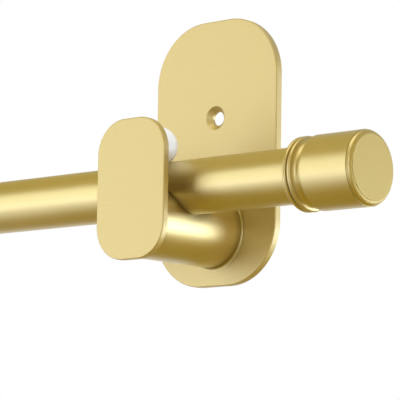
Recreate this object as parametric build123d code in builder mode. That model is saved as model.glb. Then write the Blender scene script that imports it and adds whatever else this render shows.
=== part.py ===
"""Extendable curtain rod on two wall brackets.

+X runs along the rod to the right, +Y into the wall, +Z up.  The origin is the
middle of the left wall plate's back face, so the wall is the plane Y = 0 and
the whole rod stands in front of it at negative Y.
"""

import os
from math import sqrt

from build123d import *

# Rod: an outer tube on the left and an inner tube that slides out to the right
outer_tube_diameter = 19.0
inner_tube_diameter = 16.0
tube_wall = 0.8
bracket_spacing = 386.0
rod_overhang = 50.6
collar_from_left_bracket = 305.0
slide_length = 180.0
full_reach_overlap = 62.0
slide_clearance = 0.06

# White collar at the outer tube's mouth and the guide on the inner tube's hidden end
collar_lip = 2.6
collar_sleeve = 14.0
guide_length = 18.0
guide_shoulder = 6.0
guide_wall = 1.6

# Wall plate
plate_width = 46.8
plate_height = 80.4
plate_corner = 18.3
plate_thickness = 2.4
plate_edge_break = 0.35
screw_hole_diameter = 4.3
countersink_diameter = 7.2
countersink_angle = 90.0
screw_hole_height = 10.5

# Place of the rod on the bracket
rod_drop = 13.8
rod_standoff = 21.2
front_reach = 16.0

# Support arm, a round bar with a flared foot and a saddle for the rod
arm_diameter = 22.0
arm_drop = 10.0
foot_flare = 0.7
saddle_clearance = 0.25

# Front plate
face_width = 25.8
face_height = 40.8
face_corner = 10.0
face_thickness = 1.9
face_drop = 1.4
face_edge_break = 0.35

# Stud that joins front plate and arm, and the screw that joins arm and wall plate
stud_diameter = 5.0
stud_in_plate = 1.0
stud_in_arm = 6.0
arm_screw_diameter = 4.0
arm_screw_head = 7.6
arm_screw_length = 10.0
screw_recess = 0.25
hex_socket = 2.5
hex_depth = 1.5
hole_run_on = 1.0

# Silicone bumper behind the front plate, on a short peg
bumper_diameter = 11.6
bumper_height = 12.2
bumper_squeeze = 0.85
bumper_gap = 0.05
peg_diameter = 3.0
peg_length = 4.5

# Turned end caps: two beads, a cove, a plain barrel, a rounded rim and a flat end disc
finial_diameter = 21.15
finial_length = 23.3
finial_seat_gap = 0.1
bead_width = 1.4
bead_spacing = 0.2
cove_width = 3.4
cove_depth = 1.9
rim_step = 0.15
rim_round = 1.3
disc_stand = 0.12

# Plastic plugs that hold the end caps in the tubes
plug_boss_diameter = 9.0
plug_boss_length = 10.0
plug_in_tube = 15.0
plug_wall = 1.5
plug_edge_break = 0.5

# Sizes that follow from the ones above
outer_radius = outer_tube_diameter / 2
inner_radius = inner_tube_diameter / 2
outer_bore = outer_radius - tube_wall
inner_bore = inner_radius - tube_wall
rod_y = -(plate_thickness + rod_standoff)
rod_z = -rod_drop
face_front = rod_y - front_reach
face_back = face_front + face_thickness
arm_radius = arm_diameter / 2
arm_z = rod_z - arm_drop
arm_length = -plate_thickness - face_back
outer_start = -rod_overhang
outer_end = collar_from_left_bracket
inner_end = bracket_spacing + rod_overhang
inner_start = outer_end + collar_lip - slide_length - full_reach_overlap
bumper_radius = bumper_diameter / 2
finial_radius = finial_diameter / 2
boss_radius = plug_boss_diameter / 2

rod_section = Plane(origin=(0, rod_y, rod_z), x_dir=(0, 1, 0), z_dir=(1, 0, 0))

os.makedirs("parts", exist_ok=True)


def facing_room(x, y, z):
    """Plane square to the wall's normal, its own normal towards the room."""
    return Plane(origin=(x, y, z), x_dir=(1, 0, 0), z_dir=(0, -1, 0))


def facing_wall(x, y, z):
    """Plane square to the wall's normal, its own normal towards the wall."""
    return Plane(origin=(x, y, z), x_dir=(-1, 0, 0), z_dir=(0, 1, 0))


def write(piece, node):
    """Label a finished piece and save it under its node's name."""
    piece.label = node
    export_step(piece, f"parts/{node}.step")


def tube(start, end, radius):
    """Plain round tube along the rod."""
    with BuildPart() as pipe:
        with BuildSketch(rod_section.offset(start)):
            Circle(radius)
            Circle(radius - tube_wall, mode=Mode.SUBTRACT)
        extrude(amount=end - start)
    return pipe.part


def mouth_collar():
    """White ring on the outer tube's mouth with a sleeve that guides the inner tube."""
    with BuildPart() as ring:
        with BuildSketch(rod_section.offset(outer_end)):
            Circle(outer_radius)
        extrude(amount=collar_lip)
        fillet(ring.faces().sort_by(Axis.X)[-1].edges(), collar_lip / 4)
        with BuildSketch(rod_section.offset(outer_end - collar_sleeve)):
            Circle(outer_bore)
        extrude(amount=collar_sleeve)
        with BuildSketch(rod_section.offset(outer_end - collar_sleeve)):
            Circle(inner_radius + slide_clearance)
        extrude(amount=collar_sleeve + collar_lip, mode=Mode.SUBTRACT)
    return ring.part


def tail_guide():
    """Plug on the hidden end of the inner tube, running in the outer tube's bore."""
    with BuildPart() as plug:
        with BuildSketch(rod_section.offset(inner_start - guide_shoulder)):
            Circle(outer_bore - slide_clearance)
        extrude(amount=guide_shoulder)
        chamfer(plug.faces().sort_by(Axis.X)[0].edges(), plug_edge_break)
        with BuildSketch(rod_section.offset(inner_start)):
            Circle(inner_bore)
        extrude(amount=guide_length - guide_shoulder)
        with BuildSketch(rod_section.offset(inner_start - guide_shoulder)):
            Circle(inner_bore - guide_wall)
        extrude(amount=guide_length, mode=Mode.SUBTRACT)
    return plug.part


def wall_plate(bracket_x):
    """Rounded plate with a countersunk hole for the wall and one behind for the arm's screw."""
    with BuildPart() as plate:
        with BuildSketch(facing_room(bracket_x, 0, 0)):
            RectangleRounded(plate_width, plate_height, plate_corner)
        extrude(amount=plate_thickness)
        fillet(plate.faces().sort_by(Axis.Y)[0].edges(), plate_edge_break)
        with Locations(facing_room(bracket_x, -plate_thickness, screw_hole_height).location):
            CounterSinkHole(
                screw_hole_diameter / 2,
                countersink_diameter / 2,
                counter_sink_angle=countersink_angle,
            )
        with Locations(facing_wall(bracket_x, -screw_recess, arm_z).location):
            CounterSinkHole(
                arm_screw_diameter / 2,
                arm_screw_head / 2,
                counter_sink_angle=countersink_angle,
            )
        with BuildSketch(facing_room(bracket_x, 0, arm_z)):
            Circle(arm_screw_head / 2)
        extrude(amount=screw_recess, mode=Mode.SUBTRACT)
    return plate.part


def support_arm(bracket_x, tube_radius):
    """Round arm, flared where it stands on the wall plate and cut open on top for the tube."""
    saddle_radius = tube_radius + saddle_clearance
    lengthwise = Plane(origin=(bracket_x, -plate_thickness, arm_z), x_dir=(0, -1, 0), z_dir=(1, 0, 0))
    across = Plane(origin=(bracket_x, rod_y, rod_z + saddle_clearance), x_dir=(0, 1, 0), z_dir=(1, 0, 0))
    with BuildPart() as arm:
        with BuildSketch(lengthwise):
            with BuildLine():
                Polyline(
                    (foot_flare, arm_radius),
                    (arm_length, arm_radius),
                    (arm_length, 0),
                    (0, 0),
                    (0, arm_radius + foot_flare),
                )
                CenterArc((foot_flare, arm_radius + foot_flare), foot_flare, 180, 90)
            make_face()
        revolve(axis=Axis(lengthwise.origin, (0, -1, 0)))
        with BuildSketch(across):
            Circle(saddle_radius)
            with Locations((0, arm_diameter / 2)):
                Rectangle(2 * saddle_radius, arm_diameter)
        extrude(amount=arm_diameter, both=True, mode=Mode.SUBTRACT)
        with BuildSketch(facing_room(bracket_x, -plate_thickness, arm_z)):
            Circle(arm_screw_diameter / 2)
        extrude(amount=arm_screw_length - plate_thickness + hole_run_on, mode=Mode.SUBTRACT)
        with BuildSketch(facing_wall(bracket_x, face_back, arm_z)):
            Circle(stud_diameter / 2)
        extrude(amount=stud_in_arm, mode=Mode.SUBTRACT)
    return arm.part


def front_plate(bracket_x):
    """Rounded plate that hides the arm's end, with a peg for the bumper behind it."""
    with BuildPart() as plate:
        with BuildSketch(facing_wall(bracket_x, face_front, rod_z - face_drop)):
            RectangleRounded(face_width, face_height, face_corner)
        extrude(amount=face_thickness)
        fillet(plate.faces().sort_by(Axis.Y)[0].edges(), face_edge_break)
        with BuildSketch(facing_wall(bracket_x, face_back, rod_z + bumper_height)):
            Circle(peg_diameter / 2)
        extrude(amount=peg_length)
        with BuildSketch(facing_room(bracket_x, face_back, arm_z)):
            Circle(stud_diameter / 2)
        extrude(amount=stud_in_plate, mode=Mode.SUBTRACT)
    return plate.part


def front_stud(bracket_x):
    """Headless stud, its short end in the front plate and its long end in the arm."""
    with BuildPart() as stud:
        with BuildSketch(facing_wall(bracket_x, face_back - stud_in_plate, arm_z)):
            Circle(stud_diameter / 2)
        extrude(amount=stud_in_plate + stud_in_arm)
        chamfer(stud.faces().sort_by(Axis.Y)[-1].edges(), stud_diameter / 10)
    return stud.part


def arm_screw(bracket_x):
    """Countersunk socket screw through the wall plate into the arm's foot."""
    head_radius = arm_screw_head / 2
    shank_radius = arm_screw_diameter / 2
    cone = head_radius - shank_radius
    lengthwise = Plane(origin=(bracket_x, -screw_recess, arm_z), x_dir=(0, -1, 0), z_dir=(1, 0, 0))
    with BuildPart() as screw:
        with BuildSketch(lengthwise):
            with BuildLine():
                Polyline(
                    (0, 0),
                    (0, head_radius),
                    (cone, shank_radius),
                    (arm_screw_length, shank_radius),
                    (arm_screw_length, 0),
                    close=True,
                )
            make_face()
        revolve(axis=Axis(lengthwise.origin, (0, -1, 0)))
        with BuildSketch(facing_room(bracket_x, -screw_recess, arm_z)):
            RegularPolygon(hex_socket / 2, 6, major_radius=False)
        extrude(amount=hex_depth, mode=Mode.SUBTRACT)
    return screw.part


def bumper(bracket_x, tube_radius):
    """Domed silicone peg, pressed hollow by the top front of the tube that it keeps seated."""
    touch = tube_radius + bumper_radius - bumper_squeeze
    forward = sqrt(max(touch**2 - bumper_height**2, 0))
    shank = rod_y - forward - face_back
    lengthwise = Plane(
        origin=(bracket_x, face_back, rod_z + bumper_height), x_dir=(0, 1, 0), z_dir=(1, 0, 0)
    )
    with BuildPart() as dome:
        with BuildSketch(lengthwise):
            with BuildLine():
                Polyline((shank + bumper_radius, 0), (0, 0), (0, bumper_radius), (shank, bumper_radius))
                CenterArc((shank, 0), bumper_radius, 0, 90)
            make_face()
        revolve(axis=Axis(lengthwise.origin, (0, 1, 0)))
        with BuildSketch(facing_wall(bracket_x, face_back, rod_z + bumper_height)):
            Circle(peg_diameter / 2)
        extrude(amount=peg_length, mode=Mode.SUBTRACT)
        with BuildSketch(rod_section.offset(bracket_x)):
            Circle(tube_radius + bumper_gap)
        extrude(amount=bumper_diameter, both=True, mode=Mode.SUBTRACT)
    return dome.part


def finial(tube_end, way):
    """Turned end cap, drawn from the tube's end outwards; way is +1 to the right, -1 to the left."""
    start = tube_end + way * finial_seat_gap
    lengthwise = Plane(origin=(start, rod_y, rod_z), x_dir=(way, 0, 0), z_dir=(0, -way, 0))
    bead_radius = bead_width / 2
    shoulder = finial_radius - bead_radius
    second_bead = bead_width + bead_spacing
    cove_start = second_bead + bead_width
    cove_end = cove_start + cove_width
    rim_top = finial_radius - rim_step
    rim_end = finial_length - disc_stand
    rim_start = rim_end - rim_round
    disc_radius = rim_top - rim_round
    with BuildPart() as cap:
        with BuildSketch(lengthwise):
            with BuildLine():
                Line((0, boss_radius), (0, shoulder))
                CenterArc((bead_radius, shoulder), bead_radius, 180, -180)
                Line((bead_width, shoulder), (second_bead, shoulder))
                CenterArc((second_bead + bead_radius, shoulder), bead_radius, 180, -180)
                ThreePointArc(
                    (cove_start, shoulder),
                    ((cove_start + cove_end) / 2, finial_radius - cove_depth),
                    (cove_end, finial_radius),
                )
                Polyline(
                    (cove_end, finial_radius),
                    (rim_start, finial_radius),
                    (rim_start, rim_top),
                )
                CenterArc((rim_start, disc_radius), rim_round, 90, -90)
                Polyline(
                    (rim_end, disc_radius),
                    (finial_length, disc_radius),
                    (finial_length, 0),
                    (plug_boss_length, 0),
                    (plug_boss_length, boss_radius),
                    (0, boss_radius),
                )
            make_face()
        revolve(axis=Axis(lengthwise.origin, (1, 0, 0)))
    return cap.part


def finial_plug(tube_end, way, tube_bore):
    """Plastic plug: its boss sits in the end cap and its hollow shank in the tube."""
    start = tube_end + way * finial_seat_gap
    outward = Plane(origin=(start, rod_y, rod_z), x_dir=(0, 1, 0), z_dir=(way, 0, 0))
    shank_radius = tube_bore - slide_clearance
    with BuildPart() as plug:
        with BuildSketch(outward):
            Circle(shank_radius)
        extrude(amount=-plug_in_tube)
        chamfer(plug.faces().sort_by(Axis((0, 0, 0), (way, 0, 0)))[0].edges(), plug_edge_break)
        with BuildSketch(outward):
            Circle(boss_radius)
        extrude(amount=plug_boss_length)
        with BuildSketch(outward.offset(-plug_in_tube)):
            Circle(shank_radius - plug_wall)
        extrude(amount=plug_in_tube - plug_wall, mode=Mode.SUBTRACT)
    return plug.part


# The telescoping rod
write(tube(outer_start, outer_end, outer_radius), "outer_tube")
write(tube(inner_start, inner_end, inner_radius), "inner_tube")
write(mouth_collar(), "outer_tube_collar")
write(tail_guide(), "inner_tube_guide")

# The brackets: the left one seats the outer tube, the right one the inner tube
for side, place, seated_radius in (
    ("left", 0.0, outer_radius),
    ("right", bracket_spacing, inner_radius),
):
    write(wall_plate(place), f"{side}_wall_plate")
    write(support_arm(place, seated_radius), f"{side}_support_arm")
    write(front_plate(place), f"{side}_front_plate")
    write(front_stud(place), f"{side}_front_stud")
    write(arm_screw(place), f"{side}_arm_screw")
    write(bumper(place, seated_radius), f"{side}_bumper")

# The end caps and their plugs
for side, place, way, bore in (
    ("left", outer_start, -1, outer_bore),
    ("right", inner_end, 1, inner_bore),
):
    write(finial(place, way), f"{side}_finial")
    write(finial_plug(place, way, bore), f"{side}_finial_plug")
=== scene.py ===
"""Visual model of an extendable curtain rod on two wall brackets.

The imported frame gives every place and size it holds. Tubes, collar and end caps are spun
from their half sections, and the brackets keep the frame's own meshes under a finer finish.
Metres throughout: +X along the rod to the right, +Y into the wall, +Z up.
"""

from math import asin, cos, hypot, pi, radians, sin

import bmesh
import bpy
from bpy.props import FloatProperty, FloatVectorProperty, IntProperty, PointerProperty
from mathutils import Matrix, Vector


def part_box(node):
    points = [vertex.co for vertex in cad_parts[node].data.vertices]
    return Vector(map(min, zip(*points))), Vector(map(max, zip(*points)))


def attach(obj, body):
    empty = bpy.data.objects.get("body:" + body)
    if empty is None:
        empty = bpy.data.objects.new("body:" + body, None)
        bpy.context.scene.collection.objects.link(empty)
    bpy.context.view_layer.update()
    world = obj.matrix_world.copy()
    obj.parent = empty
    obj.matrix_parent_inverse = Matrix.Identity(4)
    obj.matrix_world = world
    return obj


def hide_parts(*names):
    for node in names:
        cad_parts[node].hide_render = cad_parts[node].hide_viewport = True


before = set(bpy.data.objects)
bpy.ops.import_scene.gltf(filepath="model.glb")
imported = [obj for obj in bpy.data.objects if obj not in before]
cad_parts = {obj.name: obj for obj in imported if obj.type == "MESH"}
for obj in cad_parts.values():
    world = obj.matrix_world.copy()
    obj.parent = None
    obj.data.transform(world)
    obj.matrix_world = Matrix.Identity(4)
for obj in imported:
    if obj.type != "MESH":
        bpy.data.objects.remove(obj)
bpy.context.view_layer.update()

bl_info = {
    "name": "Extendable curtain rod",
    "version": (1, 0, 0),
    "blender": (4, 5, 0),
    "location": "3D View > Sidebar > Curtain rod",
    "description": "Builds the pieces, finishes and stage of an extendable curtain rod",
    "category": "Object",
}

SIDES = ("left", "right")
BRACKET_BODY = {"left": "wall_and_outer_tube", "right": "inner_tube_and_bracket"}
CAP_BODY = {"left": "left_end_cap", "right": "right_end_cap"}
CAP_WAY = {"left": -1, "right": 1}
LAMPS = ("key", "side", "edge", "top")

SHARP_ANGLE = radians(32)
MERGE_DISTANCE = 1e-7
COLLAR_STEPS = 6
ROUND_STEPS = 10
COVE_STEPS = 14
NOISE_ROUGHNESS = 0.55
NOISE_MIDDLE = 0.5
DRAWN_STRETCH = (0.02, 1.0, 1.0)
# Share of the lacquer left in the painted-shade hollows of the arms and caps.
PAINTED_SHADE_LACQUER = 0.2
MIX_COLOURS = (6, 7)
MIX_RESULT = 2
SENSOR_WIDTH = 36.0
VIEW_END = 50.0
WHITE = (1.0, 1.0, 1.0)


def turned_about_x(node):
    """Axis depth, axis height and radius of a frame node that is round about X."""
    low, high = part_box(node)
    middle = (low + high) / 2
    return middle.y, middle.z, max(high.y - low.y, high.z - low.z) / 2


rod_y, rod_z, outer_radius = turned_about_x("outer_tube")
inner_radius = turned_about_x("inner_tube")[2]
finial_radius = turned_about_x("left_finial")[2]
right_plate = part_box("right_wall_plate")
right_seat = Vector(((right_plate[0].x + right_plate[1].x) / 2, rod_y, rod_z))


def length(name, description, default):
    """A length in metres, shown in the scene's own unit."""
    return FloatProperty(
        name=name,
        description=description,
        default=default,
        min=0.0,
        unit="LENGTH",
        precision=5,
    )


def share(name, description, default):
    """A value from 0 to 1."""
    return FloatProperty(
        name=name,
        description=description,
        default=default,
        min=0.0,
        max=1.0,
        subtype="FACTOR",
    )


def colour(name, description, default):
    """A linear colour."""
    return FloatVectorProperty(
        name=name,
        description=description,
        default=default,
        size=3,
        subtype="COLOR",
        min=0.0,
        max=1.0,
    )


def place(name, description, default):
    """A point in the frame, in metres."""
    return FloatVectorProperty(
        name=name,
        description=description,
        default=default,
        size=3,
        subtype="XYZ",
        unit="LENGTH",
        precision=5,
    )


def number(name, description, default):
    """A plain number from nothing up, such as a brightness, where 1 shows white."""
    return FloatProperty(name=name, description=description, default=default, min=0.0)


def angle(name, description, default):
    """An angle, given in degrees and kept in radians."""
    return FloatProperty(
        name=name,
        description=description,
        default=radians(default),
        subtype="ANGLE",
    )


class CurtainRodTubes(bpy.types.PropertyGroup):
    """Sizes of the tubes and of the collar between them."""

    wall: length("Tube wall", "Thickness of both tubes", 0.0008)
    edge: length("Edge round", "Rounding at the tubes' cut ends", 0.0002)
    slide_clearance: length("Slide clearance", "Room between inner tube and collar", 0.00006)
    collar_round: length("Collar round", "Rounding on the collar's outer end", 0.00065)
    steps: IntProperty(
        name="Steps",
        description="Steps round a turned piece",
        default=128,
        min=24,
        max=256,
    )


class CurtainRodFinials(bpy.types.PropertyGroup):
    """Sizes along the turned end caps."""

    bead_width: length("Bead width", "Width of each of the two beads beside the tube", 0.0014)
    bead_spacing: length("Bead spacing", "Room between the beads", 0.0002)
    cove_width: length("Cove width", "Width of the hollow after the beads", 0.0034)
    cove_depth: length("Cove depth", "Depth of the hollow after the beads", 0.0019)
    rim_step: length("Rim step", "Step down from the barrel to the rounded rim", 0.00015)
    rim_round: length("Rim round", "Radius of the rounded rim", 0.0013)
    # The dull rim share also takes the disc's slightly darker gold: painted shade that dims the
    # rim's highlight.
    rim_dull_and_shaded: share("Dull rim", "Share of the rim with the end disc's duller finish", 0.25)
    disc_stand: length("Disc stand", "Height of the flat end disc over the rim", 0.00012)
    boss_radius: length("Boss radius", "Radius of the hole for the plug's boss", 0.0045)
    boss_length: length("Boss length", "Depth of the hole for the plug's boss", 0.01)


class CurtainRodFinish(bpy.types.PropertyGroup):
    """Colours and gloss of the finishes."""

    gold: colour("Gold", "Satin gold of tubes, arms and end caps", (0.62, 0.49, 0.16))
    plate_gold: colour("Plate gold", "Duller gold of the plates", (0.67, 0.54, 0.215))
    # The disc gold is a slightly darker copy of the gold: painted shade on the end discs and rims.
    disc_shaded_gold: colour("Disc gold", "Duller gold of the end discs", (0.6, 0.475, 0.155))
    tube_roughness: share("Tube roughness", "Roughness of tubes and end caps", 0.41)
    arm_roughness: share("Arm roughness", "Roughness of the arms", 0.37)
    plate_roughness: share("Plate roughness", "Roughness of the plates", 0.58)
    disc_roughness: share("Disc roughness", "Roughness of the end discs", 0.62)
    tube_drawn: share("Tube lines", "Share of drawn lines in the tubes' grain", 0.5)
    plate_drawn: share("Plate lines", "Share of drawn lines in the plates' grain", 0.7)
    disc_drawn: share("Disc lines", "Share of drawn lines in the end discs' grain", 0.0)
    tube_sheen: number("Tube sheen", "Index of the lacquer on tubes, arms and caps", 2.2)
    plate_sheen: number("Plate sheen", "Index of the lacquer on the plates", 1.8)
    disc_sheen: number("Disc sheen", "Index of the lacquer on the end discs", 1.4)
    lacquer_roughness: share("Lacquer roughness", "Roughness of the clear lacquer", 0.4)
    # Painted shade: ambient occlusion darkens the arms' and caps' colour in their corners and
    # grooves.
    arm_painted_shade_reach: length("Arm corners", "Reach of the dark in the arms' corners", 0.0055)
    arm_painted_shade_tone: share("Arm dark", "Share of the colour left in the arms' corners", 0.4)
    cap_painted_shade_reach: length("Cap grooves", "Reach of the dark in the end caps' grooves", 0.0025)
    cap_painted_shade_tone: share("Cap dark", "Share of the colour left in the end caps' grooves", 0.7)
    plastic: colour("Plastic", "White of collar, guide and plugs", (0.86, 0.86, 0.85))
    plastic_roughness: share("Plastic roughness", "Roughness of the plastic", 0.42)
    silicone: colour("Silicone", "White of the bumpers", (0.92, 0.94, 0.96))
    silicone_roughness: share("Silicone roughness", "Roughness of the bumpers", 0.38)
    zinc: colour("Zinc", "Grey of studs and screws", (0.6, 0.61, 0.62))
    zinc_roughness: share("Zinc roughness", "Roughness of studs and screws", 0.34)


class CurtainRodStage(bpy.types.PropertyGroup):
    """Camera, lamps, floor and background."""

    camera_offset: place(
        "Camera offset", "From the right saddle to the camera", (0.41875, -0.47051, -0.09091)
    )
    camera_yaw: angle("Camera yaw", "Turn of the view to the left of the wall's normal", 40.794)
    camera_pitch: angle("Camera pitch", "Tilt of the view upwards", 7.961)
    camera_roll: angle("Camera roll", "Turn of the picture about the view", 0.867)
    camera_lens: number("Camera lens", "Focal length in mm on a 36 mm frame", 196.74)
    aim: place("Aim", "Point that the lamps face", (0.25, -0.02, -0.01))
    lamp_distance: length("Lamp distance", "Distance of every lamp from the aim", 1.4)
    key_direction: place("Key direction", "Way from the aim to the key lamp", (-0.63, -0.77, 0.12))
    key_width: length("Key width", "Width of the key lamp", 1.0)
    key_height: length("Key height", "Height of the key lamp", 1.25)
    key_radiance: number("Key radiance", "Brightness of the key lamp's face", 1.85)
    key_colour: colour("Key colour", "Cool white of the key lamp", (0.74, 0.84, 1.0))
    side_direction: place("Side direction", "Way from the aim to the side lamp", (0.71, 0.7, -0.15))
    side_width: length("Side width", "Width of the side lamp", 0.9)
    side_height: length("Side height", "Height of the side lamp", 0.62)
    side_radiance: number("Side radiance", "Brightness of the side lamp's face", 3.7)
    side_colour: colour("Side colour", "Cool white of the side lamp", (0.74, 0.84, 1.0))
    edge_direction: place("Edge direction", "Way from the aim to the edge lamp", (0.7, -0.7, 0.12))
    edge_width: length("Edge width", "Width of the edge lamp", 0.2)
    edge_height: length("Edge height", "Height of the edge lamp", 0.8)
    edge_radiance: number("Edge radiance", "Brightness of the edge lamp's face", 5.5)
    edge_colour: colour("Edge colour", "White of the edge lamp", WHITE)
    top_direction: place("Top direction", "Way from the aim to the top lamp", (0.2, -0.25, 0.95))
    top_width: length("Top width", "Width of the top lamp", 1.1)
    top_height: length("Top height", "Height of the top lamp", 1.1)
    top_radiance: number("Top radiance", "Brightness of the top lamp's face", 1.4)
    top_colour: colour("Top colour", "White of the top lamp", WHITE)
    floor_place: place("Floor place", "Middle of the floor", (0.25, -0.02, -0.55))
    floor_size: length("Floor size", "Half the floor's side", 6.0)
    floor_colour: colour("Floor colour", "Pale floor", (0.8, 0.76, 0.66))
    floor_roughness: share("Floor roughness", "Roughness of the floor", 0.8)
    floor_gloss: share("Floor gloss", "Specular level of the floor", 0.2)
    floor_plain: length("Plain floor", "Distance out to which the floor is plain", 0.4)
    floor_faded: length("Faded floor", "Distance at which the floor has faded to white", 0.95)
    deep_colour: colour("Deep floor", "Floor as reflections show it", (0.42, 0.3, 0.04))
    deep_place: place("Deep place", "Middle of the deep floor, on the floor", (0.49, 0.22, 0.0))
    deep_plain: length("Deep plain", "Distance out to which reflections are deep", 1.05)
    deep_faded: length("Deep faded", "Distance at which reflections show white", 1.35)
    room_brightness: number("Room", "Brightness of the room all round", 0.75)
    wall_colour: colour("Wall colour", "Walls as reflections show them", (0.54, 0.43, 0.1))
    shade: share("Shade", "Share of the walls' brightness left about the camera", 0.12)
    shade_start: share("Shade start", "Nearness to the camera where the shade begins", 0.7)
    shade_full: share("Shade full", "Nearness to the camera where the shade is full", 0.95)
    backdrop: number("Backdrop", "Brightness behind the rod in reflections", 0.58)
    backdrop_start: share("Backdrop start", "Lean to the wall where the backdrop begins", 0.2)
    backdrop_full: share("Backdrop full", "Lean to the wall where the backdrop is full", 0.8)


class CurtainRodSettings(bpy.types.PropertyGroup):
    """Everything that can be set on the curtain rod."""

    tubes: PointerProperty(type=CurtainRodTubes)
    finials: PointerProperty(type=CurtainRodFinials)
    finish: PointerProperty(type=CurtainRodFinish)
    stage: PointerProperty(type=CurtainRodStage)


class Outline:
    """Half section of a turned piece, drawn point by point and then spun about its axis."""

    def __init__(self, origin, along, out):
        self.bm = bmesh.new()
        self.origin = Vector(origin)
        self.along = Vector(along)
        self.out = Vector(out)
        self.first = None
        self.last = None

    def at(self, distance, radius):
        """The point this far along the axis and this far out from it."""
        return self.origin + self.along * distance + self.out * radius

    def to(self, distance, radius):
        """A straight line on to a point."""
        vert = self.bm.verts.new(self.at(distance, radius))
        if self.last is None:
            self.first = vert
        else:
            self.bm.edges.new((self.last, vert))
        self.last = vert

    def round(self, distance, radius, turn, steps):
        """An arc about a centre, turning from the axis towards the outside."""
        made = bmesh.ops.spin(
            self.bm,
            geom=[self.last],
            cent=self.at(distance, radius),
            axis=self.along.cross(self.out),
            dvec=(0, 0, 0),
            angle=turn,
            steps=steps,
            use_duplicate=False,
        )
        self.last = [part for part in made["geom_last"] if isinstance(part, bmesh.types.BMVert)][0]

    def close(self):
        """A straight line back to the first point."""
        self.bm.edges.new((self.last, self.first))

    def spin(self, name, steps):
        """The turned piece as a new object in the scene."""
        bmesh.ops.spin(
            self.bm,
            geom=self.bm.verts[:] + self.bm.edges[:],
            cent=self.origin,
            axis=self.along,
            dvec=(0, 0, 0),
            angle=2 * pi,
            steps=steps,
            use_merge=True,
            use_duplicate=False,
        )
        bmesh.ops.remove_doubles(self.bm, verts=self.bm.verts[:], dist=MERGE_DISTANCE)
        return finish_piece(self.bm, name)


def finish_piece(bm, name):
    """Make an object of a finished bmesh, smooth but for its sharp edges."""
    bmesh.ops.recalc_face_normals(bm, faces=bm.faces[:])
    if not bm.faces:
        raise RuntimeError(f"{name} came out empty")
    for face in bm.faces:
        face.smooth = True
    mesh = bpy.data.meshes.new(name)
    bm.to_mesh(mesh)
    bm.free()
    mesh.set_sharp_from_angle(angle=SHARP_ANGLE)
    piece = bpy.data.objects.new(name, mesh)
    bpy.context.scene.collection.objects.link(piece)
    return piece


def stand_in(piece, node, body, material):
    """Put a turned piece in the place of its frame node."""
    piece.data.materials.append(material)
    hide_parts(node)
    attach(piece, body)


def coat_node(node, material):
    """Give a frame node its finish."""
    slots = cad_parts[node].data.materials
    if len(slots):
        slots[0] = material
    else:
        slots.append(material)


class Wire:
    """One output in a shader tree; arithmetic on wires adds the matching nodes."""

    def __init__(self, tree, socket=None):
        self.tree = tree
        self.socket = socket

    def make(self, kind, output, inputs, **settings):
        """A new node of a kind with its settings and inputs; returns one of its outputs."""
        node = self.tree.nodes.new(kind)
        for key, value in settings.items():
            setattr(node, key, value)
        for key, value in inputs.items():
            if isinstance(value, Wire):
                self.tree.links.new(value.socket, node.inputs[key])
            else:
                node.inputs[key].default_value = value
        return Wire(self.tree, node.outputs[output])

    def maths(self, operation, first, second):
        """A Math node on two wires, or on a wire and a number."""
        return self.make("ShaderNodeMath", 0, {0: first, 1: second}, operation=operation)

    def __add__(self, other):
        return self.maths("ADD", self, other)

    def __radd__(self, other):
        return self.maths("ADD", other, self)

    def __sub__(self, other):
        return self.maths("SUBTRACT", self, other)

    def __rsub__(self, other):
        return self.maths("SUBTRACT", other, self)

    def __mul__(self, other):
        return self.maths("MULTIPLY", self, other)

    def __rmul__(self, other):
        return self.maths("MULTIPLY", other, self)

    def swing(self, amount):
        """Noise about a half, as a change of this amount about nothing."""
        return amount * (self - NOISE_MIDDLE)

    def smooth(self, low, high):
        """0 below low, 1 above high and a smooth step between."""
        span = {"Value": self, "From Min": low, "From Max": high}
        return self.make("ShaderNodeMapRange", 0, span, interpolation_type="SMOOTHSTEP")

    def mix(self, first, second):
        """Colour between two others, with this wire as the share of the second."""
        parts = {"Factor": self, MIX_COLOURS[0]: first, MIX_COLOURS[1]: second}
        settings = {"data_type": "RGBA", "clamp_factor": True}
        return self.make("ShaderNodeMix", MIX_RESULT, parts, **settings)

    def vector(self, operation, *others):
        """The number that a Vector Math node gives for this vector and others."""
        inputs = dict(enumerate((self, *others)))
        return self.make("ShaderNodeVectorMath", "Value", inputs, operation=operation)


def grey(brightness):
    """A grey of a brightness, with full alpha."""
    return (brightness, brightness, brightness, 1.0)


def scaled(tone, amount):
    """A lighter or darker shade of a colour, with full alpha."""
    return (*[min(part * amount, 1.0) for part in tone], 1.0)


def new_material(name):
    """A new material with a principled shader; returns it, a first wire and the shader."""
    material = bpy.data.materials.new(name)
    material.use_nodes = True
    tree = material.node_tree
    return material, Wire(tree), tree.nodes["Principled BSDF"]


def plug(wire, shader, name):
    """Lead a wire into one of the shader's inputs."""
    wire.tree.links.new(wire.socket, shader.inputs[name])


def noise(point, lumps, detail):
    """Even noise about a half at a number of lumps to the metre."""
    inputs = {"Vector": point, "Scale": lumps, "Detail": detail, "Roughness": NOISE_ROUGHNESS}
    return point.make("ShaderNodeTexNoise", 0, inputs)


def relief(height, depth):
    """Surface normal of a fine relief of a depth in metres."""
    inputs = {"Strength": 1.0, "Distance": depth, "Height": height}
    return height.make("ShaderNodeBump", "Normal", inputs)


def clouded(cloud, tone, dark, light):
    """A colour that drifts between a darker and a lighter shade of itself."""
    return cloud.smooth(low=0.25, high=0.75).mix(scaled(tone, dark), scaled(tone, light))


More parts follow.
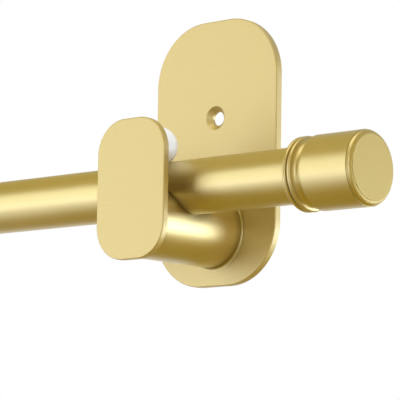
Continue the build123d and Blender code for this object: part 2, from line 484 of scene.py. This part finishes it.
def satin_gold(name, tone, roughness, drawn, sheen, painted_shade_reach=0.0, dark=1.0):
    """Lacquered satin gold with a fine grain that is partly drawn out along the rod.

    Where a reach is given, the colour darkens and the lacquer thins in its corners and grooves by
    ambient occlusion: painted shade.
    """
    look = bpy.context.scene.curtain_rod.finish
    material, wire, shader = new_material(name)
    point = wire.make("ShaderNodeTexCoord", "Object", {})
    grain = noise(point, lumps=2600.0, detail=2.0)
    cloud = noise(point, lumps=55.0, detail=3.0)
    along_rod = {"Vector": point, "Scale": DRAWN_STRETCH}
    lines = noise(wire.make("ShaderNodeMapping", 0, along_rod), lumps=3200.0, detail=2.0)
    fine = (1.0 - drawn) * grain + drawn * lines
    tint = (0.5 * fine + 0.5 * cloud).smooth(low=0.3, high=0.7)
    shade = tint.mix(scaled(tone, amount=0.95), scaled(tone, amount=1.05))
    shader.inputs["Coat Weight"].default_value = 1.0
    if painted_shade_reach:
        # Painted shade by ambient occlusion: a square inside edge is about half open to the air, a
        # flat face wholly, and the colour darkens and the lacquer thins where it is less open.
        open_air = wire.make("ShaderNodeAmbientOcclusion", "AO", {"Distance": painted_shade_reach}, samples=8)
        clear = open_air.smooth(low=0.45, high=0.95)
        shade = clear.mix(scaled(tone, dark), shade)
        plug((1.0 - PAINTED_SHADE_LACQUER) * clear + PAINTED_SHADE_LACQUER, shader, "Coat Weight")
    plug(shade, shader, "Base Color")
    plug(fine.swing(amount=0.16) + cloud.swing(amount=0.1) + roughness, shader, "Roughness")
    plug(relief(fine, depth=0.000008), shader, "Normal")
    shader.inputs["Metallic"].default_value = 1.0
    shader.inputs["Coat IOR"].default_value = sheen
    shader.inputs["Coat Roughness"].default_value = look.lacquer_roughness
    return material


def white_plastic(name, tone, roughness):
    """Moulded white plastic with a faint texture."""
    material, wire, shader = new_material(name)
    point = wire.make("ShaderNodeTexCoord", "Object", {})
    grain = noise(point, lumps=1800.0, detail=3.0)
    cloud = noise(point, lumps=120.0, detail=2.0)
    plug(clouded(cloud, tone, dark=0.97, light=1.02), shader, "Base Color")
    plug(grain.swing(amount=0.15) + roughness, shader, "Roughness")
    plug(relief(grain, depth=0.00001), shader, "Normal")
    return material


def white_silicone(name, tone, roughness):
    """Smooth white silicone, a little dusty."""
    material, wire, shader = new_material(name)
    point = wire.make("ShaderNodeTexCoord", "Object", {})
    grain = noise(point, lumps=2400.0, detail=2.0)
    cloud = noise(point, lumps=260.0, detail=4.0)
    plug(clouded(cloud, tone, dark=0.97, light=1.02), shader, "Base Color")
    plug(cloud.swing(amount=0.2) + roughness, shader, "Roughness")
    plug(relief(grain, depth=0.000006), shader, "Normal")
    return material


def zinc_steel(name, tone, roughness):
    """Zinc plated steel with a fine even grain."""
    material, wire, shader = new_material(name)
    point = wire.make("ShaderNodeTexCoord", "Object", {})
    grain = noise(point, lumps=2200.0, detail=3.0)
    cloud = noise(point, lumps=180.0, detail=3.0)
    plug(clouded(cloud, tone, dark=0.92, light=1.05), shader, "Base Color")
    plug(grain.swing(amount=0.2) + roughness, shader, "Roughness")
    plug(relief(grain, depth=0.00001), shader, "Normal")
    shader.inputs["Metallic"].default_value = 1.0
    return material


def finish(name):
    """The finish of a name, made the first time it is asked for."""
    found = bpy.data.materials.get(name)
    if found:
        return found
    look = bpy.context.scene.curtain_rod.finish
    tube = (look.gold, look.tube_roughness, look.tube_drawn, look.tube_sheen)
    if name == "finish_tube_gold":
        return satin_gold(name, *tube)
    # The arms' and caps' gold carries painted shade in its corners and grooves.
    if name == "finish_arm_gold":
        arm = (look.gold, look.arm_roughness, look.tube_drawn, look.tube_sheen)
        return satin_gold(name, *arm, look.arm_painted_shade_reach, look.arm_painted_shade_tone)
    if name == "finish_cap_gold":
        return satin_gold(name, *tube, look.cap_painted_shade_reach, look.cap_painted_shade_tone)
    if name == "finish_plate_gold":
        plate = (look.plate_gold, look.plate_roughness, look.plate_drawn, look.plate_sheen)
        return satin_gold(name, *plate)
    # Rougher disc gold, also darker as painted shade.
    if name == "finish_disc_gold":
        disc = (look.disc_shaded_gold, look.disc_roughness, look.disc_drawn, look.disc_sheen)
        return satin_gold(name, *disc)
    if name == "finish_plastic":
        return white_plastic(name, look.plastic, look.plastic_roughness)
    if name == "finish_silicone":
        return white_silicone(name, look.silicone, look.silicone_roughness)
    if name == "finish_zinc":
        return zinc_steel(name, look.zinc, look.zinc_roughness)
    raise RuntimeError(f"there is no finish named {name}")


class CURTAINROD_OT_tubes(bpy.types.Operator):
    """Turn the outer and the inner tube"""

    bl_idname = "curtainrod.tubes"
    bl_label = "Tubes"

    def execute(self, context):
        sizes = context.scene.curtain_rod.tubes
        edge = sizes.edge
        for node, body, radius in (
            ("outer_tube", BRACKET_BODY["left"], outer_radius),
            ("inner_tube", BRACKET_BODY["right"], inner_radius),
        ):
            low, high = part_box(node)
            run = high.x - low.x
            outline = Outline((low.x, rod_y, rod_z), (1, 0, 0), (0, 0, 1))
            outline.to(0, radius - sizes.wall)
            outline.to(0, radius - edge)
            outline.to(edge, radius)
            outline.to(run - edge, radius)
            outline.to(run, radius - edge)
            outline.to(run, radius - sizes.wall)
            outline.close()
            piece = outline.spin(f"turned_{node}", sizes.steps)
            stand_in(piece, node, body, finish("finish_tube_gold"))
        return {"FINISHED"}


class CURTAINROD_OT_collar(bpy.types.Operator):
    """Turn the white collar at the outer tube's mouth"""

    bl_idname = "curtainrod.collar"
    bl_label = "Collar"

    def execute(self, context):
        sizes = context.scene.curtain_rod.tubes
        node = "outer_tube_collar"
        low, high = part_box(node)
        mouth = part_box("outer_tube")[1].x - low.x
        run = high.x - low.x
        bore = inner_radius + sizes.slide_clearance
        soft = sizes.collar_round
        outline = Outline((low.x, rod_y, rod_z), (1, 0, 0), (0, 0, 1))
        outline.to(0, bore)
        outline.to(0, outer_radius - sizes.wall)
        outline.to(mouth, outer_radius - sizes.wall)
        outline.to(mouth, outer_radius)
        outline.to(run - soft, outer_radius)
        outline.round(run - soft, outer_radius - soft, -pi / 2, COLLAR_STEPS)
        outline.to(run, bore + sizes.edge)
        outline.to(run - sizes.edge, bore)
        outline.close()
        piece = outline.spin("turned_collar", sizes.steps)
        stand_in(piece, node, BRACKET_BODY["left"], finish("finish_plastic"))
        return {"FINISHED"}


def cove(outline, start, end, low_radius):
    """A hollow arc from start to end that reaches down to low_radius half way along."""
    # The arc's circle runs through both ends and through the low point between them.
    half = (end[0] - start[0]) / 2
    fall = start[1] - low_radius
    climb = end[1] - low_radius
    up = (2 * half**2 + fall**2 + climb**2) / (2 * (fall + climb))
    aside = (climb - fall) * (fall * climb - half**2) / (2 * half * (fall + climb))
    radius = hypot(aside, up)
    turn = pi - asin((up - fall) / radius) - asin((up - climb) / radius)
    middle = start[0] + half
    outline.round(middle + aside, low_radius + up, turn, COVE_STEPS)


class CURTAINROD_OT_finials(bpy.types.Operator):
    """Turn the two end caps"""

    bl_idname = "curtainrod.finials"
    bl_label = "End caps"

    def execute(self, context):
        sizes = context.scene.curtain_rod.finials
        steps = context.scene.curtain_rod.tubes.steps
        bead = sizes.bead_width / 2
        shoulder = finial_radius - bead
        second = sizes.bead_width + sizes.bead_spacing
        cove_start = (second + sizes.bead_width, shoulder)
        cove_end = (cove_start[0] + sizes.cove_width, finial_radius)
        rim_top = finial_radius - sizes.rim_step
        disc_radius = rim_top - sizes.rim_round
        half_stand = sizes.disc_stand / 2
        dull_and_shaded_reach = sizes.disc_stand + sizes.rim_round * sizes.rim_dull_and_shaded
        for side in SIDES:
            node = f"{side}_finial"
            low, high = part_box(node)
            run = high.x - low.x
            start = high.x if side == "left" else low.x
            rim_start = run - sizes.disc_stand - sizes.rim_round
            outline = Outline((start, rod_y, rod_z), (CAP_WAY[side], 0, 0), (0, 0, 1))
            outline.to(0, sizes.boss_radius)
            outline.to(0, shoulder)
            outline.round(bead, shoulder, -pi, ROUND_STEPS)
            outline.to(second, shoulder)
            outline.round(second + bead, shoulder, -pi, ROUND_STEPS)
            cove(outline, cove_start, cove_end, finial_radius - sizes.cove_depth)
            outline.to(rim_start, finial_radius)
            outline.to(rim_start, rim_top)
            outline.round(rim_start, disc_radius, -pi / 2, ROUND_STEPS)
            outline.to(run - half_stand, disc_radius)
            outline.to(run, disc_radius - half_stand)
            outline.to(run, 0)
            outline.to(sizes.boss_length, 0)
            outline.to(sizes.boss_length, sizes.boss_radius)
            outline.close()
            piece = outline.spin(f"turned_{node}", steps)
            stand_in(piece, node, CAP_BODY[side], finish("finish_cap_gold"))
            piece.data.materials.append(finish("finish_disc_gold"))
            # The flat disc and the outer end of the rim have the duller finish: a rougher gold that
            # is also a slightly darker copy, painted shade that dims the highlight on the rim.
            end = start + CAP_WAY[side] * run
            for face in piece.data.polygons:
                if abs(face.center.x - end) < dull_and_shaded_reach:
                    face.material_index = 1
        return {"FINISHED"}


class CURTAINROD_OT_bumpers(bpy.types.Operator):
    """Finish the two silicone bumpers"""

    bl_idname = "curtainrod.bumpers"
    bl_label = "Bumpers"

    def execute(self, context):
        for side in SIDES:
            coat_node(f"{side}_bumper", finish("finish_silicone"))
        return {"FINISHED"}


class CURTAINROD_OT_brackets(bpy.types.Operator):
    """Finish the wall plates, arms, front plates, studs and screws"""

    bl_idname = "curtainrod.brackets"
    bl_label = "Brackets"

    def execute(self, context):
        for side in SIDES:
            coat_node(f"{side}_support_arm", finish("finish_arm_gold"))
            for piece in ("wall_plate", "front_plate"):
                coat_node(f"{side}_{piece}", finish("finish_plate_gold"))
            for piece in ("front_stud", "arm_screw"):
                coat_node(f"{side}_{piece}", finish("finish_zinc"))
        return {"FINISHED"}


class CURTAINROD_OT_inner_pieces(bpy.types.Operator):
    """Finish the guide and the plugs inside the tubes"""

    bl_idname = "curtainrod.inner_pieces"
    bl_label = "Inner pieces"

    def execute(self, context):
        for node in ("inner_tube_guide", "left_finial_plug", "right_finial_plug"):
            coat_node(node, finish("finish_plastic"))
        return {"FINISHED"}


def add_lamp(settings, lamp):
    """A soft rectangular lamp that faces the aim."""
    way = Vector(getattr(settings, f"{lamp}_direction")).normalized()
    width = getattr(settings, f"{lamp}_width")
    height = getattr(settings, f"{lamp}_height")
    data = bpy.data.lights.new(f"{lamp}_lamp", "AREA")
    data.shape = "RECTANGLE"
    data.size = width
    data.size_y = height
    # A flat lamp's power is its brightness times pi times its area.
    data.energy = getattr(settings, f"{lamp}_radiance") * pi * width * height
    data.color = getattr(settings, f"{lamp}_colour")
    holder = bpy.data.objects.new(f"{lamp}_lamp", data)
    holder.location = Vector(settings.aim) + way * settings.lamp_distance
    holder.rotation_euler = way.to_track_quat("Z", "Y").to_euler()
    holder.visible_camera = False
    bpy.context.scene.collection.objects.link(holder)


def add_camera(settings):
    """The camera at the photograph's place and angle."""
    yaw = settings.camera_yaw
    pitch = settings.camera_pitch
    roll = settings.camera_roll
    # Without yaw, pitch and roll the camera looks squarely at the wall, along +Y.
    ahead = Vector((-sin(yaw) * cos(pitch), cos(yaw) * cos(pitch), sin(pitch)))
    sideways = Vector((cos(yaw), sin(yaw), 0.0))
    upright = sideways.cross(ahead)
    right = sideways * cos(roll) + upright * sin(roll)
    up = upright * cos(roll) - sideways * sin(roll)
    data = bpy.data.cameras.new("camera")
    data.lens = settings.camera_lens
    data.sensor_width = SENSOR_WIDTH
    data.clip_end = VIEW_END
    camera = bpy.data.objects.new("camera", data)
    turn = Matrix((right, up, -ahead)).transposed().to_4x4()
    camera.matrix_world = Matrix.Translation(right_seat + Vector(settings.camera_offset)) @ turn
    bpy.context.scene.collection.objects.link(camera)
    bpy.context.scene.camera = camera


def seen(wire):
    """Two wires: 1 for rays from the camera, and 1 for rays off a gloss or through glass."""
    camera = wire.make("ShaderNodeLightPath", "Is Camera Ray", {})
    rays = camera.socket.node.outputs
    glossy = Wire(wire.tree, rays["Is Glossy Ray"])
    through = Wire(wire.tree, rays["Is Transmission Ray"])
    return camera, glossy + through


def add_floor(settings):
    """A wide plain floor well below the rod that fades to white far out."""
    bm = bmesh.new()
    bmesh.ops.create_grid(bm, x_segments=1, y_segments=1, size=settings.floor_size)
    floor = finish_piece(bm, "floor")
    floor.location = settings.floor_place
    material, wire, shader = new_material("finish_floor")
    point = wire.make("ShaderNodeTexCoord", "Object", {})
    camera, mirrored = seen(wire)
    cloud = noise(point, lumps=6.0, detail=3.0)
    plain = clouded(cloud, settings.floor_colour, dark=0.98, light=1.02)
    plug(mirrored.mix(plain, scaled(settings.deep_colour, 1.0)), shader, "Base Color")
    shader.inputs["Roughness"].default_value = settings.floor_roughness
    shader.inputs["Specular IOR Level"].default_value = settings.floor_gloss
    reach = point.vector("LENGTH")
    deep_reach = point.vector("DISTANCE", settings.deep_place)
    faded = reach.smooth(settings.floor_plain, settings.floor_faded) * camera
    deep_faded = deep_reach.smooth(settings.deep_plain, settings.deep_faded) * mirrored
    white = wire.make("ShaderNodeEmission", 0, {"Color": grey(1.0), "Strength": 1.0})
    parts = {0: faded + deep_faded, 1: Wire(wire.tree, shader.outputs[0]), 2: white}
    surface = wire.make("ShaderNodeMixShader", 0, parts)
    plug(surface, wire.tree.nodes["Material Output"], "Surface")
    floor.data.materials.append(material)


def light_room(settings):
    """A plain grey room: white to the camera, golden with a grey backdrop in reflections."""
    world = bpy.data.worlds.new("room")
    world.use_nodes = True
    wire = Wire(world.node_tree)
    way = wire.make("ShaderNodeTexCoord", "Generated", {})
    camera, mirrored = seen(wire)
    near_camera = way.vector("DOT_PRODUCT", Vector(settings.camera_offset).normalized())
    shade = near_camera.smooth(settings.shade_start, settings.shade_full)
    tone = settings.wall_colour
    shaded = shade.mix(scaled(tone, 1.0), scaled(tone, settings.shade))
    walls = mirrored.mix(grey(settings.room_brightness), shaded)
    to_wall = wire.make("ShaderNodeSeparateXYZ", "Y", {0: way})
    behind = to_wall.smooth(settings.backdrop_start, settings.backdrop_full) * mirrored
    reflected = behind.mix(walls, grey(settings.backdrop))
    plug(camera.mix(reflected, grey(1.0)), wire.tree.nodes["Background"], "Color")
    bpy.context.scene.world = world


class CURTAINROD_OT_stage(bpy.types.Operator):
    """Set the floor, the lamps, the room and the camera"""

    bl_idname = "curtainrod.stage"
    bl_label = "Stage"

    def execute(self, context):
        settings = context.scene.curtain_rod.stage
        add_floor(settings)
        for lamp in LAMPS:
            add_lamp(settings, lamp)
        light_room(settings)
        add_camera(settings)
        context.scene.view_settings.view_transform = "Standard"
        return {"FINISHED"}


OPERATORS = (
    CURTAINROD_OT_tubes,
    CURTAINROD_OT_collar,
    CURTAINROD_OT_finials,
    CURTAINROD_OT_bumpers,
    CURTAINROD_OT_brackets,
    CURTAINROD_OT_inner_pieces,
    CURTAINROD_OT_stage,
)


class CURTAINROD_PT_build(bpy.types.Panel):
    """Lists the steps that build the curtain rod"""

    bl_label = "Curtain rod"
    bl_idname = "CURTAINROD_PT_build"
    bl_space_type = "VIEW_3D"
    bl_region_type = "UI"
    bl_category = "Curtain rod"

    def draw(self, context):
        for operator in OPERATORS:
            self.layout.operator(operator.bl_idname)


CLASSES = (
    CurtainRodTubes,
    CurtainRodFinials,
    CurtainRodFinish,
    CurtainRodStage,
    CurtainRodSettings,
    *OPERATORS,
    CURTAINROD_PT_build,
)


def register():
    """Register every class and hang the settings on the scene."""
    for item in CLASSES:
        bpy.utils.register_class(item)
    bpy.types.Scene.curtain_rod = PointerProperty(type=CurtainRodSettings)


def unregister():
    """Undo what register did."""
    del bpy.types.Scene.curtain_rod
    for item in reversed(CLASSES):
        bpy.utils.unregister_class(item)


def main():
    """Build every piece and the stage."""
    register()
    bpy.ops.curtainrod.tubes()
    bpy.ops.curtainrod.collar()
    bpy.ops.curtainrod.finials()
    bpy.ops.curtainrod.bumpers()
    bpy.ops.curtainrod.brackets()
    bpy.ops.curtainrod.inner_pieces()
    bpy.ops.curtainrod.stage()


if __name__ == "__main__":
    main()
